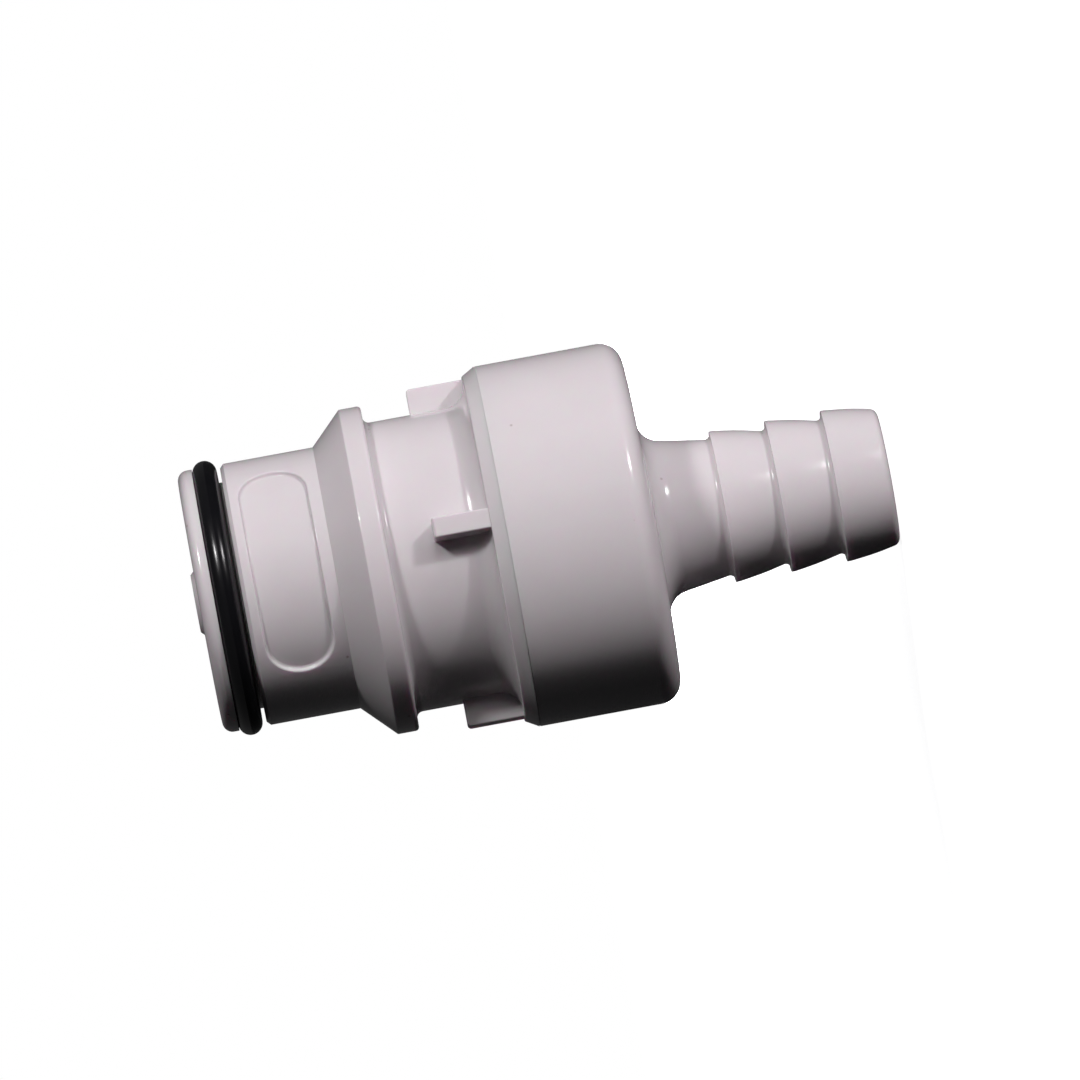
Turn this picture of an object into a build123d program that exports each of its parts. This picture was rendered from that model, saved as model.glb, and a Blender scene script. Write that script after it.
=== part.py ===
from build123d import *
import os
from math import cos, degrees, hypot, pi, sin, sqrt

# Valved insert half of a plastic quick disconnect coupling, with a barbed hose tail.
# The axis is +Z. Heights run up from the flat end of the hose tail to the nose. All in mm.

# Hose tail, for hose of 9.5 mm bore
barb_count = 3
barb_pitch = 4.4
tip_barb_length = 4.3
barb_lip_radius = 5.95
barb_lip_land = 0.3
barb_height = 0.8
barb_root_fillet = 0.4
barb_camber = 0.1
tail_end_taper = 0.65
tail_end_rounding = 0.6
flow_bore_radius = 3.6
neck_foot_step = 0.65
neck_flare = 0.9
neck_length = 5.4
neck_fillet = 1.8

# Cap, moulded in one with the hose tail
cap_radius = 14.2
cap_length = 11.65
cap_dish = 0.3
cap_corner = 1.7
cap_floor = 2.4
cap_inner_corner = 0.8
rim_chamfer = 0.1

# Weld flange and barrel of the insert body
weld_flange_taper = 0.6
weld_flange_thickness = 1.05
weld_flange_rounding = 0.15
cove_fillet = 1.7
barrel_radius = 11.4
barrel_length = 8.15
barrel_wall = 2.2
spigot_length = 7.0
spigot_clearance = 0.05
spigot_lead_in = 0.5

# Key ribs round the barrel
rib_count = 4
rib_width = 1.55
rib_inset = 0.1
rib_length = 4.45
rib_rounding = 0.3
rib_edge_rounding = 0.12

# Latch flange, with its 45 degree lead cone
flange_step = 1.4
flange_land = 1.7
flange_corner = 0.3
flange_edge_rounding = 0.15
flange_root_fillet = 0.5

# Nose and the gland of its O-ring
nose_radius = 10.3
nose_length = 10.75
nose_corner = 0.8
gland_lip = 1.2
gland_width = 2.2
gland_depth = 1.4
gland_wall = 1.3
gland_chamfer = 0.3
nose_ring_section = 1.9

# Shallow oval field sunk in the nose
oval_width = 5.3
oval_length = 17.8
oval_depth = 0.35
oval_floor_fillet = 0.2
oval_edge_rounding = 0.14

# Valve seat inside the nose
seat_width = 1.6
opening_chamfer = 0.25
front_wall = 1.4

# Poppet, its own O-ring and its guide vanes
button_radius = 2.5
button_stand_out = 0.36
button_chamfer = 0.25
face_recess = 0.4
face_clearance = 0.2
poppet_gland_depth = 0.78
poppet_ring_section = 1.5
seat_clearance = 0.05
back_disc_clearance = 0.9
back_disc_thickness = 1.2
core_radius = 2.2
core_fillet = 1.2
vane_thickness = 1.5
vane_length = 12.0
vane_clearance = 0.1
vane_chamfer = 0.5
pilot_length = 2.6
pilot_clearance = 0.15

# Valve spring, which stands round the chamfered mouth of the flow bore
mouth_chamfer = 1.0
wire_radius = 0.4
active_turns = 4
closed_turns = 1
closed_pitch = 0.9
ground_depth = 0.3
steps_per_turn = 8
spring_pocket_depth = 0.6
spring_pocket_clearance = 0.2

# Outer radii that follow from the ones above
barb_root_radius = barb_lip_radius - barb_height
tail_end_radius = barb_lip_radius - tail_end_taper
neck_foot_radius = barb_lip_radius - neck_foot_step
neck_top_radius = neck_foot_radius + neck_flare
weld_flange_face_radius = cap_radius - weld_flange_taper
rib_tip_radius = weld_flange_face_radius - rib_inset
flange_radius = barrel_radius + flange_step

# Heights of the stack, from the tail end up
top_lip_z = tip_barb_length + (barb_count - 1) * barb_pitch
cap_base_z = top_lip_z + neck_length
floor_z = cap_base_z + cap_floor
rim_z = cap_base_z + cap_length
weld_flange_z = rim_z + weld_flange_thickness
flange_back_z = weld_flange_z + barrel_length
cone_base_z = flange_back_z + flange_land
cone_top_z = cone_base_z + flange_radius - nose_radius
front_z = cone_top_z + nose_length
gland_top_z = front_z - gland_lip
gland_base_z = gland_top_z - gland_width
seat_top_z = front_z - front_wall

# Inner radii that follow from the outer ones
gland_radius = nose_radius - gland_depth
guide_radius = gland_radius - gland_wall
opening_radius = guide_radius - seat_width
back_disc_radius = guide_radius - back_disc_clearance
barrel_bore_radius = barrel_radius - barrel_wall
spigot_radius = barrel_radius - spigot_clearance
seat_base_z = seat_top_z - (guide_radius - opening_radius)
face_radius = opening_radius - face_clearance
poppet_gland_radius = face_radius - poppet_gland_depth
poppet_ring_radius = poppet_gland_radius + poppet_ring_section / 2

# The oval field lies midway up the plain part of the nose, on the -Y side
oval_z = (gland_base_z + cone_top_z) / 2
oval_turn = degrees((oval_length - oval_width) / 2 / nose_radius)
oval_floor_radius = nose_radius - oval_depth

# The poppet's O-ring lies just clear of the 45 degree seat, and its gland lies round it
seat_gap = (poppet_ring_section / 2 + seat_clearance) * sqrt(2)
poppet_ring_z = seat_top_z + opening_radius - seat_gap - poppet_ring_radius
face_z = front_z - face_recess
disc_top_z = poppet_ring_z - poppet_ring_section / 2
disc_base_z = disc_top_z - back_disc_thickness
vane_radius = guide_radius - vane_clearance
shoulder_z = disc_base_z - vane_length
mouth_radius = flow_bore_radius + mouth_chamfer
spring_radius = mouth_radius + spring_pocket_clearance + wire_radius
pilot_radius = spring_radius - wire_radius - pilot_clearance

# The spring stands in a shallow pocket in the cap's floor
pocket_z = floor_z - spring_pocket_depth
pocket_radius = spring_radius + wire_radius + spring_pocket_clearance


def turned(outline):
    """A solid turned about the axis from corners of radius, height and rounding."""
    corners = [(radius, height) for radius, height, rounding in outline]
    section = (Plane.XZ * make_face(Polyline(*corners, close=True))).face()
    for radius, height, rounding in outline:
        if rounding > 0:
            corner = section.vertices().sort_by_distance((radius, 0, height))[0]
            section = section.fillet_2d(rounding, [corner])
    return revolve(section, Axis.Z)


def barb_outline():
    """Barbs from the tail's end up: each swells out to its lip, then steps in to the next root."""
    outline = [(tail_end_radius, 0, tail_end_rounding)]
    for barb in range(barb_count):
        foot_radius, foot_z, rounding = outline[-1]
        lip_z = tip_barb_length + barb * barb_pitch
        half_rise = (lip_z - barb_lip_land - foot_z) / 2
        swell_radius = (foot_radius + barb_lip_radius) / 2 + barb_camber
        camber_rounding = (half_rise - rounding) ** 2 / barb_camber
        outline.append((swell_radius, foot_z + half_rise, camber_rounding))
        outline.append((barb_lip_radius, lip_z - barb_lip_land, 0))
        outline.append((barb_lip_radius, lip_z, 0))
        outline.append((barb_root_radius, lip_z, barb_root_fillet))
    outline[-1] = (neck_foot_radius, top_lip_z, barb_root_fillet)
    return outline


def make_barb_cap():
    """Cap and hose tail in one moulding: a cup that takes the body's spigot, over a barbed tube."""
    outline = [(flow_bore_radius, 0, 0)]
    outline += barb_outline()
    outline += [
        (neck_top_radius, cap_base_z, neck_fillet),
        (cap_radius, cap_base_z + cap_dish, cap_corner),
        (cap_radius, rim_z - rim_chamfer, 0),
        (cap_radius - rim_chamfer, rim_z, 0),
        (barrel_radius, rim_z, 0),
        (barrel_radius, floor_z, cap_inner_corner),
        (pocket_radius, floor_z, 0),
        (pocket_radius, pocket_z, 0),
        (mouth_radius, pocket_z, 0),
        (flow_bore_radius, pocket_z - mouth_chamfer, 0),
    ]
    return turned(outline)


def make_body_shell():
    """Turned form of the insert body: nose, latch flange, barrel, weld flange and spigot."""
    cove_limit = weld_flange_face_radius - barrel_radius - weld_flange_rounding
    return turned(
        [
            (opening_radius, seat_top_z, 0),
            (opening_radius, front_z - opening_chamfer, 0),
            (opening_radius + opening_chamfer, front_z, 0),
            (nose_radius, front_z, nose_corner),
            (nose_radius, gland_top_z, 0),
            (gland_radius, gland_top_z, 0),
            (gland_radius, gland_base_z, 0),
            (nose_radius - gland_chamfer, gland_base_z, 0),
            (nose_radius, gland_base_z - gland_chamfer, 0),
            (nose_radius, cone_top_z, 0),
            (flange_radius, cone_base_z, flange_edge_rounding),
            (flange_radius, flange_back_z, flange_corner),
            (barrel_radius, flange_back_z, flange_root_fillet),
            (barrel_radius, weld_flange_z, min(cove_fillet, 0.95 * cove_limit)),
            (weld_flange_face_radius, weld_flange_z, weld_flange_rounding),
            (cap_radius, rim_z, 0),
            (spigot_radius, rim_z, 0),
            (spigot_radius, rim_z - spigot_length + spigot_lead_in, 0),
            (spigot_radius - spigot_lead_in, rim_z - spigot_length, 0),
            (barrel_bore_radius, rim_z - spigot_length, 0),
            (barrel_bore_radius, cone_base_z - barrel_bore_radius + guide_radius, 0),
            (guide_radius, cone_base_z, 0),
            (guide_radius, seat_base_z, 0),
        ]
    )


def make_rib():
    """One key rib on the barrel, standing on the weld flange, with its tip and edges rounded."""
    root_radius = (barrel_bore_radius + barrel_radius) / 2
    foot_z = (rim_z + weld_flange_z) / 2
    top_z = weld_flange_z + rib_length
    blade = Box(
        rib_tip_radius - root_radius,
        rib_width,
        top_z - foot_z,
        align=(Align.MIN, Align.CENTER, Align.MIN),
    )
    blade = Pos(root_radius, 0, foot_z) * blade
    tip = blade.edges().filter_by(Axis.Y).sort_by_distance((rib_tip_radius, 0, top_z))[0]
    blade = fillet(tip, rib_rounding)
    crest = blade.edges().filter_by(Axis.Z).group_by(Axis.X)[-1]
    return fillet(crest, rib_edge_rounding)


def make_oval_tool():
    """The tool that sinks the oval field: a band round the nose with two round plugs at its ends."""
    reach = 2 * oval_depth
    section = Pos(oval_floor_radius + reach / 2, oval_z) * Rectangle(reach, oval_width)
    tool = Rot(0, 0, -90 - oval_turn) * revolve(Plane.XZ * section, Axis.Z, 2 * oval_turn)
    skin = Cylinder(oval_floor_radius + reach, 2 * oval_width)
    skin -= Cylinder(oval_floor_radius, 2 * oval_width)
    for side in (-1, 1):
        plug = extrude(Plane.YZ * Circle(oval_width / 2), 2 * nose_radius)
        tool += Pos(0, 0, oval_z) * (Rot(0, 0, side * oval_turn - 90) * plug & skin)
    return fillet(tool.edges().filter_by(on_oval_floor), oval_floor_fillet)


def on_oval_floor(edge):
    """Whether an edge lies round the floor of the oval field."""
    return lies_at(edge, oval_floor_radius)


def on_oval_brim(edge):
    """Whether an edge lies where the wall of the oval field meets the nose."""
    inside = abs((edge @ 0.5).Z - oval_z) < (oval_width + oval_depth) / 2
    return inside and lies_at(edge, nose_radius)


def lies_at(edge, radius):
    """Whether an edge runs all at one distance from the axis."""
    points = [edge @ 0, edge @ 0.5, edge @ 1]
    return all(abs(hypot(point.X, point.Y) - radius) < 0.001 for point in points)


def make_insert_body():
    """Insert body: the turned form, with the oval field sunk in and the key ribs moulded on."""
    body = make_body_shell() - make_oval_tool()
    body = fillet(body.edges().filter_by(on_oval_brim), oval_edge_rounding)
    for rib in range(rib_count):
        body += Rot(0, 0, rib * 360 / rib_count - 90) * make_rib()
    return body


def make_o_ring(centre_radius, height, section):
    """An O-ring lying level on the axis."""
    return Pos(0, 0, height) * Torus(centre_radius, section / 2)


def make_valve_poppet():
    """Poppet: button and head with an O-ring gland, on a stem of four guide vanes."""
    head = turned(
        [
            (0, front_z + button_stand_out, 0),
            (button_radius - button_chamfer, front_z + button_stand_out, 0),
            (button_radius, front_z + button_stand_out - button_chamfer, 0),
            (button_radius, face_z, 0),
            (face_radius, face_z, 0),
            (face_radius, poppet_ring_z + poppet_ring_section / 2, 0),
            (poppet_gland_radius, poppet_ring_z + poppet_ring_section / 2, 0),
            (poppet_gland_radius, disc_top_z, 0),
            (back_disc_radius, disc_top_z, 0),
            (back_disc_radius, disc_base_z, 0),
            (core_radius, disc_base_z, core_fillet),
            (core_radius, shoulder_z - pilot_length, 0),
            (0, shoulder_z - pilot_length, 0),
        ]
    )
    envelope = turned(
        [
            (0, disc_base_z, 0),
            (back_disc_radius, disc_base_z, 0),
            (vane_radius, disc_base_z - (vane_radius - back_disc_radius), 0),
            (vane_radius, shoulder_z + vane_chamfer, 0),
            (vane_radius - vane_chamfer, shoulder_z, 0),
            (pilot_radius, shoulder_z, 0),
            (pilot_radius, shoulder_z - pilot_length + vane_chamfer, 0),
            (pilot_radius - vane_chamfer, shoulder_z - pilot_length, 0),
            (0, shoulder_z - pilot_length, 0),
        ]
    )
    blade = Box(3 * vane_radius, vane_thickness, 2 * front_z)
    vanes = (blade + Rot(0, 0, 90) * blade) & envelope
    return head + vanes


def make_valve_spring():
    """Compression spring with closed ground ends, from the cap's pocket to the poppet's vanes."""
    length = shoulder_z - pocket_z
    turns = active_turns + 2 * closed_turns
    end_height = wire_radius - ground_depth
    active_rise = length - 2 * end_height - 2 * closed_turns * closed_pitch
    path_points = []
    for step in range(turns * steps_per_turn + 1):
        turn = step / steps_per_turn
        opened = min(max(turn - closed_turns, 0), active_turns)
        height = pocket_z + end_height + (turn - opened) * closed_pitch
        height += active_rise * opened / active_turns
        angle = 2 * pi * turn
        path_points.append((spring_radius * cos(angle), spring_radius * sin(angle), height))
    path = Edge.make_spline(path_points)
    coil = sweep(Plane(path @ 0, z_dir=path % 0) * Circle(wire_radius), path=path)
    ground = Cylinder(pocket_radius, length, align=(Align.CENTER, Align.CENTER, Align.MIN))
    return coil & Pos(0, 0, pocket_z) * ground


pieces = {
    "insert_body": make_insert_body(),
    "barb_cap": make_barb_cap(),
    "nose_o_ring": make_o_ring(
        gland_radius + nose_ring_section / 2,
        gland_top_z - nose_ring_section / 2,
        nose_ring_section,
    ),
    "valve_poppet": make_valve_poppet(),
    "poppet_o_ring": make_o_ring(poppet_ring_radius, poppet_ring_z, poppet_ring_section),
    "valve_spring": make_valve_spring(),
}

os.makedirs("parts", exist_ok=True)
for name, piece in pieces.items():
    export_step(piece, f"parts/{name}.step")
    print(name, round(piece.volume, 1), len(piece.solids()))
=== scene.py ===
"""The valved insert half of a plastic quick disconnect coupling, with its finishes."""

import math

import bmesh
import bpy
from mathutils import Matrix, Vector


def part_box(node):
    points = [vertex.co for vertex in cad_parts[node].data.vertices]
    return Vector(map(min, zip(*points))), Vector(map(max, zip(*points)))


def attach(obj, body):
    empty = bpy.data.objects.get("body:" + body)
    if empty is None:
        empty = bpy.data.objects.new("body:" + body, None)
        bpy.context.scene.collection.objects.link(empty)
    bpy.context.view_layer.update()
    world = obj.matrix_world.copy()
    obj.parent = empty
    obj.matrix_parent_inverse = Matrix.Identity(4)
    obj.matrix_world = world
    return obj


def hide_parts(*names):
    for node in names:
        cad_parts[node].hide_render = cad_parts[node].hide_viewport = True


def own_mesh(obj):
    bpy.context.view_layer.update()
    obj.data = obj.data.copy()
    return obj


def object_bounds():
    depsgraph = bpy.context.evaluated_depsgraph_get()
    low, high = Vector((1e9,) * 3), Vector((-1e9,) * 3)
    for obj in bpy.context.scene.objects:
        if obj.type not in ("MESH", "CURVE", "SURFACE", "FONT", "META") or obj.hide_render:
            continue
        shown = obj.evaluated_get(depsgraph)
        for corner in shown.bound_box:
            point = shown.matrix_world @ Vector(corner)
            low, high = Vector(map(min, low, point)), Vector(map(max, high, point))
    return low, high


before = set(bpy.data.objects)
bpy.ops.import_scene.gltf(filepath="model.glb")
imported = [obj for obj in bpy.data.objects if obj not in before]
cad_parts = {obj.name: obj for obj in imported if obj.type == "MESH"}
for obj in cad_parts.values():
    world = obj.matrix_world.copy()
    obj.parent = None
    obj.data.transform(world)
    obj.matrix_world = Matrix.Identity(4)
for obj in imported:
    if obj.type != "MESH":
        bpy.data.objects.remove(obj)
cad_low, cad_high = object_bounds()

# ---- Camera and studio -------------------------------------------------------------
# The part stands on its hose tail. The camera looks at it side on, rolled so that the
# tail points right and a little up, with the oval field turned a little upwards.
MM = 0.001
height = cad_high.z - cad_low.z
part_middle = Vector((0, 0, height / 2))
noseward = Vector((0, 0, 1))
side_turn = math.radians(10.4)
roll = math.radians(10.44)
pitch = math.radians(1.0)
camera_distance = 950 * MM
film_width = 36
span_in_frame = 0.652
aim_off_middle = 0.16 * MM

facing = Vector((-math.sin(side_turn), -math.cos(side_turn), 0))
across = Vector((math.cos(side_turn), -math.sin(side_turn), 0))
to_camera = (facing * math.cos(pitch) + noseward * math.sin(pitch)).normalized()
along_tail = across.cross(to_camera).normalized()
right = along_tail * math.cos(roll) - across * math.sin(roll)
up = along_tail * math.sin(roll) + across * math.cos(roll)
place = part_middle - right * aim_off_middle + to_camera * camera_distance

camera_data = bpy.data.cameras.new("camera")
camera = bpy.data.objects.new("camera", camera_data)
bpy.context.scene.collection.objects.link(camera)
camera_data.sensor_width = film_width
camera_data.lens = film_width * camera_distance / (height / span_in_frame)
camera_data.clip_start = 10 * MM
camera_data.clip_end = 20
camera.matrix_world = Matrix(
    (
        (right.x, up.x, to_camera.x, place.x),
        (right.y, up.y, to_camera.y, place.y),
        (right.z, up.z, to_camera.z, place.z),
        (0, 0, 0, 1),
    )
)
bpy.context.scene.camera = camera


def add_lamp(name, rise, lean, distance, width, watts, colour, glints):
    """A round lamp aimed at the part's middle. It rises from the line of sight, round the
    axis, and leans along the axis: to the nose, or with a minus sign to the tail."""
    light = bpy.data.lights.new(name, "AREA")
    light.shape = "DISK"
    light.size = width
    light.energy = watts
    light.color = colour
    lamp = bpy.data.objects.new(name, light)
    bpy.context.scene.collection.objects.link(lamp)
    rise_angle = math.radians(rise)
    lean_angle = math.radians(lean)
    ring = to_camera * math.cos(rise_angle) + across * math.sin(rise_angle)
    direction = ring * math.cos(lean_angle) + noseward * math.sin(lean_angle)
    lamp.location = part_middle + direction * distance
    lamp.rotation_euler = direction.to_track_quat("Z", "Y").to_euler()
    lamp.visible_glossy = glints


# Two small lamps give the glints, one towards the nose and one towards the tail. The
# others are soft fills, and the gloss doesn't mirror them.
near = 500 * MM
far = 800 * MM
key_white = (1.0, 0.985, 0.99)
rose_white = (1.0, 0.97, 0.985)
fill_white = (1.0, 0.98, 0.99)
cool_white = (0.97, 0.98, 1.0)
lamps = (
    # name, rise, lean, distance, width, watts, colour, glints
    ("key", 41, 26, near, 70 * MM, 1.04, key_white, True),
    ("second", 43, -36, near, 35 * MM, 0.72, rose_white, True),
    ("low", 41, -30, near, 100 * MM, 0.26, rose_white, False),
    ("middle", 37, -6, near, 200 * MM, 0.48, fill_white, False),
    ("upper", 60, 0, near, 250 * MM, 0.33, fill_white, False),
    ("tail_lamp", 55, -62, near, 200 * MM, 0.3, rose_white, False),
    ("rear", 180, 10, far, 100 * MM, 5.0, cool_white, False),
)
for lamp_values in lamps:
    add_lamp(*lamp_values)

# To the camera the backdrop is plain white. Gloss shows a small share of it, and the
# room adds only a little light to that of the lamps.
room_strength = 0.008
backdrop_in_gloss = 0.05
world = bpy.data.worlds.new("studio")
bpy.context.scene.world = world
world.use_nodes = True
world_nodes = world.node_tree.nodes
world_links = world.node_tree.links
world_nodes.clear()
world_out = world_nodes.new("ShaderNodeOutputWorld")
world_mix = world_nodes.new("ShaderNodeMixShader")
room_light = world_nodes.new("ShaderNodeBackground")
room_light.inputs["Color"].default_value = (0.95, 0.96, 1.0, 1)
room_light.inputs["Strength"].default_value = room_strength
backdrop = world_nodes.new("ShaderNodeBackground")
backdrop.inputs["Color"].default_value = (1, 1, 1, 1)
backdrop.inputs["Strength"].default_value = 1.0
rays = world_nodes.new("ShaderNodeLightPath")
mirrored = world_nodes.new("ShaderNodeMath")
mirrored.operation = "MAXIMUM"
world_links.new(rays.outputs["Is Glossy Ray"], mirrored.inputs[0])
world_links.new(rays.outputs["Is Transmission Ray"], mirrored.inputs[1])
backdrop_share = world_nodes.new("ShaderNodeMath")
backdrop_share.operation = "MULTIPLY_ADD"
backdrop_share.inputs[1].default_value = backdrop_in_gloss
backdrop_share.use_clamp = True
world_links.new(mirrored.outputs[0], backdrop_share.inputs[0])
world_links.new(rays.outputs["Is Camera Ray"], backdrop_share.inputs[2])
world_links.new(backdrop_share.outputs[0], world_mix.inputs["Fac"])
world_links.new(room_light.outputs[0], world_mix.inputs[1])
world_links.new(backdrop.outputs[0], world_mix.inputs[2])
world_links.new(world_mix.outputs[0], world_out.inputs["Surface"])

# The floor is a round board, pale to the camera and dark to all other rays, so that it
# throws hardly any light up on the part. It glows to the camera until it reads as white,
# a little less near the part. Some lamps lie below its level, so it stops no light.
floor_radius = 1.5
floor_rim_points = 128
floor_dark, floor_pale = 0.03, 0.8
glow_near, glow_far = 0.82, 1.0
near_reach, far_reach = 20 * MM, 90 * MM
floor_mesh = bpy.data.meshes.new("floor")
floor_form = bmesh.new()
bmesh.ops.create_circle(
    floor_form, cap_ends=True, segments=floor_rim_points, radius=floor_radius
)
floor_form.to_mesh(floor_mesh)
floor_form.free()
floor = bpy.data.objects.new("floor", floor_mesh)
bpy.context.scene.collection.objects.link(floor)
floor.location.z = cad_low.z
floor.visible_shadow = False
floor_paint = bpy.data.materials.new("floor_paint")
floor_paint.use_nodes = True
floor_nodes = floor_paint.node_tree.nodes
floor_links = floor_paint.node_tree.links
floor_nodes.clear()
floor_out = floor_nodes.new("ShaderNodeOutputMaterial")
floor_sum = floor_nodes.new("ShaderNodeAddShader")
floor_matte = floor_nodes.new("ShaderNodeBsdfDiffuse")
floor_glow = floor_nodes.new("ShaderNodeEmission")
floor_rays = floor_nodes.new("ShaderNodeLightPath")
floor_tone = floor_nodes.new("ShaderNodeMapRange")
floor_tone.inputs["To Min"].default_value = floor_dark
floor_tone.inputs["To Max"].default_value = floor_pale
floor_links.new(floor_rays.outputs["Is Camera Ray"], floor_tone.inputs["Value"])
floor_links.new(floor_tone.outputs[0], floor_matte.inputs["Color"])
floor_place = floor_nodes.new("ShaderNodeTexCoord")
from_part = floor_nodes.new("ShaderNodeVectorMath")
from_part.operation = "LENGTH"
floor_links.new(floor_place.outputs["Object"], from_part.inputs[0])
glow_spread = floor_nodes.new("ShaderNodeMapRange")
glow_spread.interpolation_type = "SMOOTHSTEP"
glow_spread.inputs["From Min"].default_value = near_reach
glow_spread.inputs["From Max"].default_value = far_reach
glow_spread.inputs["To Min"].default_value = glow_near
glow_spread.inputs["To Max"].default_value = glow_far
floor_links.new(from_part.outputs["Value"], glow_spread.inputs["Value"])
glow_level = floor_nodes.new("ShaderNodeMath")
glow_level.operation = "MULTIPLY"
floor_links.new(glow_spread.outputs[0], glow_level.inputs[1])
floor_links.new(floor_rays.outputs["Is Camera Ray"], glow_level.inputs[0])
floor_links.new(glow_level.outputs[0], floor_glow.inputs["Strength"])
floor_links.new(floor_matte.outputs[0], floor_sum.inputs[0])
floor_links.new(floor_glow.outputs[0], floor_sum.inputs[1])
floor_links.new(floor_sum.outputs[0], floor_out.inputs["Surface"])
floor_mesh.materials.append(floor_paint)

# ---- Insert body -------------------------------------------------------------------
# The front half of the housing: nose, latch flange, barrel and key ribs in one white
# polypropylene moulding. Its skin is satin, with a faint cloudiness from the melt.

# A colour Mix node has several sockets of one name, so these go by number.
mix_factor, mix_first, mix_second, mix_result = 0, 6, 7, 2


def make_moulded_skin():
    """Moulded skin: clouds in its colour and gloss, a few dark specks and a fine grain."""
    rub_depth = 0.12
    speck_scale = 420
    speck_core, speck_edge = 0.02, 0.075
    speck_cutoff = 0.8
    speck_tint = (0.45, 0.36, 0.33, 1)
    grain_scale = 2600
    group = bpy.data.node_groups.new("moulded_skin", "ShaderNodeTree")
    sockets = (
        ("Colour", "INPUT", "NodeSocketColor"),
        ("Shade", "INPUT", "NodeSocketColor"),
        ("Roughness", "INPUT", "NodeSocketFloat"),
        ("Cloud Size", "INPUT", "NodeSocketFloat"),
        ("Speck", "INPUT", "NodeSocketFloat"),
        ("Colour", "OUTPUT", "NodeSocketColor"),
        ("Roughness", "OUTPUT", "NodeSocketFloat"),
        ("Height", "OUTPUT", "NodeSocketFloat"),
    )
    for label, side, kind in sockets:
        group.interface.new_socket(label, in_out=side, socket_type=kind)
    kit = group.nodes
    join = group.links
    given = kit.new("NodeGroupInput")
    result = kit.new("NodeGroupOutput")
    place_node = kit.new("ShaderNodeTexCoord")

    clouds = kit.new("ShaderNodeTexNoise")
    clouds.inputs["Detail"].default_value = 3
    join.new(place_node.outputs["Object"], clouds.inputs["Vector"])
    join.new(given.outputs["Cloud Size"], clouds.inputs["Scale"])
    tint = kit.new("ShaderNodeMix")
    tint.data_type = "RGBA"
    join.new(clouds.outputs["Fac"], tint.inputs[mix_factor])
    join.new(given.outputs["Colour"], tint.inputs[mix_first])
    join.new(given.outputs["Shade"], tint.inputs[mix_second])
    rub = kit.new("ShaderNodeMath")
    rub.operation = "MULTIPLY_ADD"
    rub.inputs[1].default_value = rub_depth
    join.new(clouds.outputs["Fac"], rub.inputs[0])
    join.new(given.outputs["Roughness"], rub.inputs[2])
    join.new(rub.outputs[0], result.inputs["Roughness"])

    specks = kit.new("ShaderNodeTexVoronoi")
    specks.inputs["Scale"].default_value = speck_scale
    specks.inputs["Randomness"].default_value = 1
    join.new(place_node.outputs["Object"], specks.inputs["Vector"])
    dot = kit.new("ShaderNodeMapRange")
    dot.interpolation_type = "SMOOTHSTEP"
    dot.inputs["From Min"].default_value = speck_core
    dot.inputs["From Max"].default_value = speck_edge
    dot.inputs["To Min"].default_value = 1
    dot.inputs["To Max"].default_value = 0
    join.new(specks.outputs["Distance"], dot.inputs["Value"])
    chosen = kit.new("ShaderNodeSeparateColor")
    join.new(specks.outputs["Color"], chosen.inputs[0])
    few = kit.new("ShaderNodeMath")
    few.operation = "GREATER_THAN"
    few.inputs[1].default_value = speck_cutoff
    join.new(chosen.outputs[0], few.inputs[0])
    few_dots = kit.new("ShaderNodeMath")
    few_dots.operation = "MULTIPLY"
    join.new(dot.outputs[0], few_dots.inputs[0])
    join.new(few.outputs[0], few_dots.inputs[1])
    faint_dots = kit.new("ShaderNodeMath")
    faint_dots.operation = "MULTIPLY"
    join.new(few_dots.outputs[0], faint_dots.inputs[0])
    join.new(given.outputs["Speck"], faint_dots.inputs[1])
    specked = kit.new("ShaderNodeMix")
    specked.data_type = "RGBA"
    specked.blend_type = "MULTIPLY"
    specked.inputs[mix_second].default_value = speck_tint
    join.new(faint_dots.outputs[0], specked.inputs[mix_factor])
    join.new(tint.outputs[mix_result], specked.inputs[mix_first])
    join.new(specked.outputs[mix_result], result.inputs["Colour"])

    grain = kit.new("ShaderNodeTexNoise")
    grain.inputs["Scale"].default_value = grain_scale
    grain.inputs["Detail"].default_value = 2
    join.new(place_node.outputs["Object"], grain.inputs["Vector"])
    join.new(grain.outputs["Fac"], result.inputs["Height"])
    return group


moulded_skin = make_moulded_skin()


def paint_with_skin(name, colour, shade, roughness, cloud_size, speck):
    """A material that has the moulded skin in its colour and its roughness."""
    paint = bpy.data.materials.new(name)
    paint.use_nodes = True
    kit = paint.node_tree.nodes
    join = paint.node_tree.links
    shader = kit["Principled BSDF"]
    skin = kit.new("ShaderNodeGroup")
    skin.name = "skin"
    skin.node_tree = moulded_skin
    skin.inputs["Colour"].default_value = colour
    skin.inputs["Shade"].default_value = shade
    skin.inputs["Roughness"].default_value = roughness
    skin.inputs["Cloud Size"].default_value = cloud_size
    skin.inputs["Speck"].default_value = speck
    join.new(skin.outputs["Colour"], shader.inputs["Base Color"])
    join.new(skin.outputs["Roughness"], shader.inputs["Roughness"])
    return paint


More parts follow.
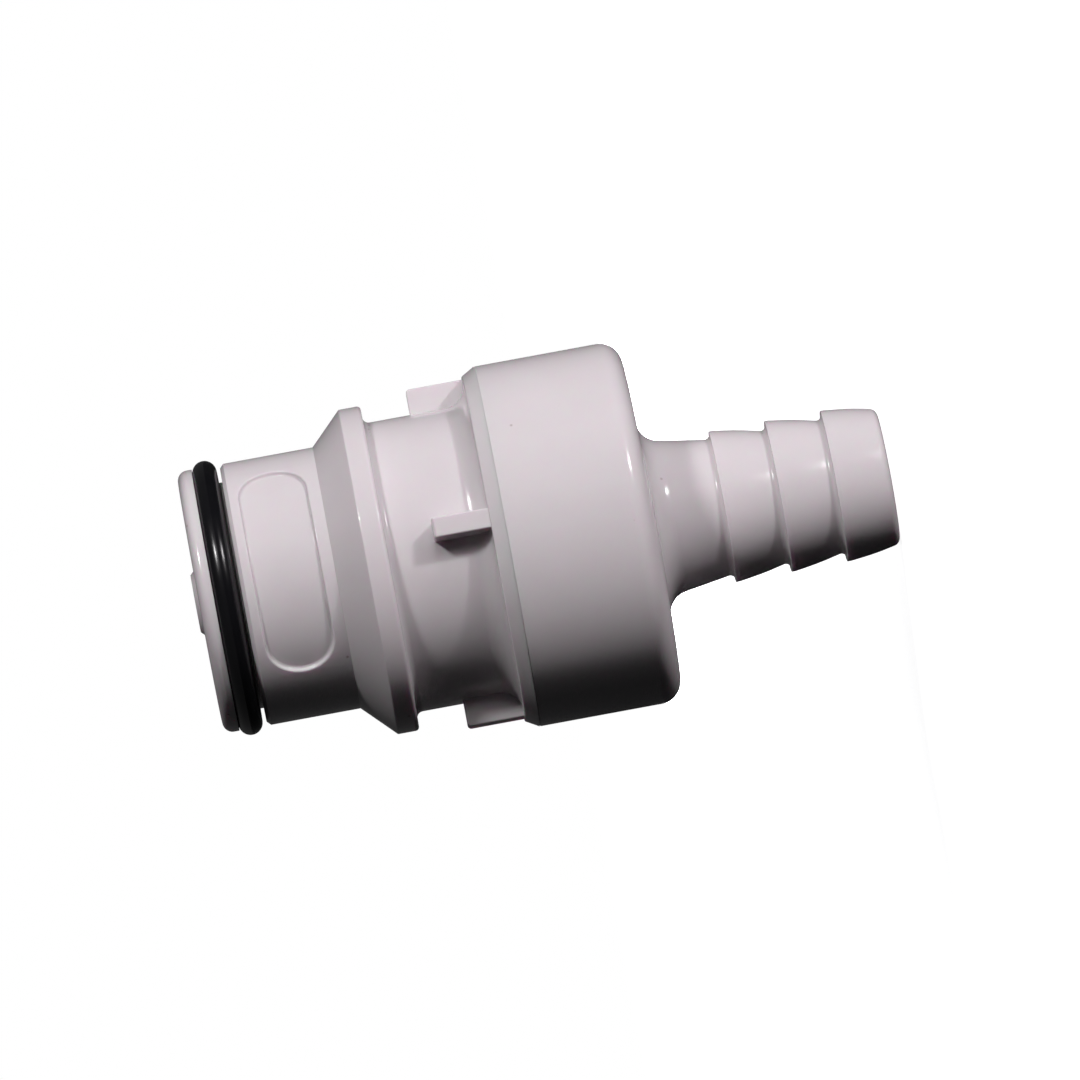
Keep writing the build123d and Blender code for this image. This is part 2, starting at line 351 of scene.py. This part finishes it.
def make_white_plastic(name, cloud_size):
    """White polypropylene: satin, a little translucent, with a faint mauve cast."""
    paint = paint_with_skin(
        name,
        colour=(0.74, 0.69, 0.715, 1),
        shade=(0.70, 0.655, 0.68, 1),
        roughness=0.13,
        cloud_size=cloud_size,
        speck=0.6,
    )
    kit = paint.node_tree.nodes
    join = paint.node_tree.links
    shader = kit["Principled BSDF"]
    bump = kit.new("ShaderNodeBump")
    bump.inputs["Strength"].default_value = 0.12
    bump.inputs["Distance"].default_value = 0.02 * MM
    join.new(kit["skin"].outputs["Height"], bump.inputs["Height"])
    join.new(bump.outputs["Normal"], shader.inputs["Normal"])
    shader.inputs["IOR"].default_value = 1.49
    shader.inputs["Subsurface Weight"].default_value = 0.4
    shader.inputs["Subsurface Radius"].default_value = (1.0, 0.45, 0.75)
    shader.inputs["Subsurface Scale"].default_value = 1.1 * MM
    shader.inputs["Diffuse Roughness"].default_value = 0.1
    return paint


def coat(node, paint):
    """Gives a carried piece its material."""
    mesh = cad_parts[node].data
    mesh.materials.clear()
    mesh.materials.append(paint)


def paint_gland_shade(paint, ring_low, ring_high):
    """Paints shade into the groove under the nose ring: a near-black painted shadow of the
    ring.
    """
    # The colour of the painted shade in the groove.
    gland_shade_colour = (0.05, 0.052, 0.05, 1)
    # Depths are from the ring's rim inwards, and the widths are beside the ring.
    lit_depth, shaded_depth = 0.6 * MM, 1.1 * MM
    shaded_foot, lit_foot = 2.1 * MM, 2.5 * MM
    shaded_width, lit_width = 0.12 * MM, 0.2 * MM
    kit = paint.node_tree.nodes
    join = paint.node_tree.links
    rim = (ring_high.x - ring_low.x) / 2
    place_node = kit.new("ShaderNodeTexCoord")
    flat = kit.new("ShaderNodeVectorMath")
    flat.operation = "MULTIPLY"
    flat.inputs[1].default_value = (1, 1, 0)
    join.new(place_node.outputs["Object"], flat.inputs[0])
    radius = kit.new("ShaderNodeVectorMath")
    radius.operation = "LENGTH"
    join.new(flat.outputs["Vector"], radius.inputs[0])
    split = kit.new("ShaderNodeSeparateXYZ")
    join.new(place_node.outputs["Object"], split.inputs[0])
    limits = (
        (radius.outputs["Value"], rim - lit_depth, rim - shaded_depth),
        (radius.outputs["Value"], rim - lit_foot, rim - shaded_foot),
        (split.outputs["Z"], ring_low.z - lit_width, ring_low.z - shaded_width),
        (split.outputs["Z"], ring_high.z + lit_width, ring_high.z + shaded_width),
    )
    shade_mask = None
    for value, lit_at, shaded_at in limits:
        edge = kit.new("ShaderNodeMapRange")
        edge.inputs["From Min"].default_value = lit_at
        edge.inputs["From Max"].default_value = shaded_at
        join.new(value, edge.inputs["Value"])
        if shade_mask is None:
            shade_mask = edge.outputs[0]
            continue
        both = kit.new("ShaderNodeMath")
        both.operation = "MULTIPLY"
        join.new(shade_mask, both.inputs[0])
        join.new(edge.outputs[0], both.inputs[1])
        shade_mask = both.outputs[0]
    # Mixes the painted shade into the skin's colour inside the groove.
    gland_shade = kit.new("ShaderNodeMix")
    gland_shade.data_type = "RGBA"
    gland_shade.inputs[mix_second].default_value = gland_shade_colour
    join.new(shade_mask, gland_shade.inputs[mix_factor])
    join.new(kit["skin"].outputs["Colour"], gland_shade.inputs[mix_first])
    join.new(gland_shade.outputs[mix_result], kit["Principled BSDF"].inputs["Base Color"])


body_plastic = make_white_plastic("body_plastic", cloud_size=260)
# Painted shade in the groove under the nose ring, where the ring shades it.
paint_gland_shade(body_plastic, *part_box("nose_o_ring"))
coat("insert_body", body_plastic)

# ---- Cap and hose tail -------------------------------------------------------------
# Cup, neck and barbs in one moulding of the same white polypropylene, welded to the
# body's flange at the rim.
coat("barb_cap", make_white_plastic("cap_plastic", cloud_size=220))

# ---- Valve poppet ------------------------------------------------------------------
# The valve's moving piece, moulded of the same white polypropylene. It slides in the
# nose, and the mating half pushes it open by the small button on its face.
coat("valve_poppet", make_white_plastic("poppet_plastic", cloud_size=300))

# ---- O-rings -----------------------------------------------------------------------
# Moulded rings of black rubber, greased, so they shine. One is stretched into the
# groove round the nose and seals the joint, and one seals the valve on its poppet.
ring_rubber = paint_with_skin(
    "ring_rubber",
    colour=(0.004, 0.004, 0.0055, 1),
    shade=(0.007, 0.007, 0.008, 1),
    roughness=0.18,
    cloud_size=500,
    speck=0,
)
coat("nose_o_ring", ring_rubber)
coat("poppet_o_ring", ring_rubber)

# ---- Valve spring ------------------------------------------------------------------
# Compression spring of drawn stainless wire, with closed and ground ends. It stands in a
# pocket in the cap's floor, pushes on the poppet's vanes and so holds the valve shut.
wire_radius = 0.4 * MM
active_turns = 4
closed_turns = 1
closed_pitch = 0.9 * MM
ground_depth = 0.3 * MM
steps_per_turn = 40
wire_sides = 14
sharpest_smooth_bend = math.radians(35)
spring_low, spring_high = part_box("valve_spring")
spring_length = spring_high.z - spring_low.z


def make_spring_mesh():
    """A round wire wound up the axis, with its two end turns closed and ground flat."""
    coil_radius = (spring_high.y - spring_low.y) / 2 - wire_radius
    turns = active_turns + 2 * closed_turns
    end_height = wire_radius - ground_depth
    active_rise = spring_length - 2 * end_height - 2 * closed_turns * closed_pitch
    form = bmesh.new()
    rings = []
    for step in range(turns * steps_per_turn + 1):
        turn = step / steps_per_turn
        opened = min(max(turn - closed_turns, 0), active_turns)
        closed_rise = (turn - opened) * closed_pitch
        rise = end_height + closed_rise + active_rise * opened / active_turns
        angle = 2 * math.pi * turn
        outward = Vector((math.cos(angle), math.sin(angle), 0))
        centre = outward * coil_radius + Vector((0, 0, spring_low.z + rise))
        ring = []
        for side in range(wire_sides):
            bearing = 2 * math.pi * side / wire_sides
            point = centre + outward * wire_radius * math.cos(bearing)
            point.z += wire_radius * math.sin(bearing)
            point.z = min(max(point.z, spring_low.z), spring_high.z)
            ring.append(form.verts.new(point))
        rings.append(ring)
    for ring, following in zip(rings, rings[1:]):
        for side in range(wire_sides):
            beside = (side + 1) % wire_sides
            form.faces.new((ring[side], ring[beside], following[beside], following[side]))
    form.faces.new(rings[0])
    form.faces.new(list(reversed(rings[-1])))
    bmesh.ops.recalc_face_normals(form, faces=form.faces)
    mesh = bpy.data.meshes.new("spring_coil")
    form.to_mesh(mesh)
    form.free()
    mesh.shade_smooth()
    mesh.set_sharp_from_angle(angle=sharpest_smooth_bend)
    return mesh


# Drawn wire is grey and a little cloudy, with a faint straw tint.
spring_wire = paint_with_skin(
    "spring_wire",
    colour=(0.60, 0.58, 0.55, 1),
    shade=(0.50, 0.49, 0.48, 1),
    roughness=0.22,
    cloud_size=900,
    speck=0,
)
spring_wire.node_tree.nodes["Principled BSDF"].inputs["Metallic"].default_value = 1
spring = bpy.data.objects.new("valve_spring_coil", make_spring_mesh())
bpy.context.scene.collection.objects.link(spring)
spring.data.materials.append(spring_wire)
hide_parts("valve_spring")
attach(spring, "housing")
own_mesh(spring)

bpy.context.scene.view_settings.view_transform = "Standard"
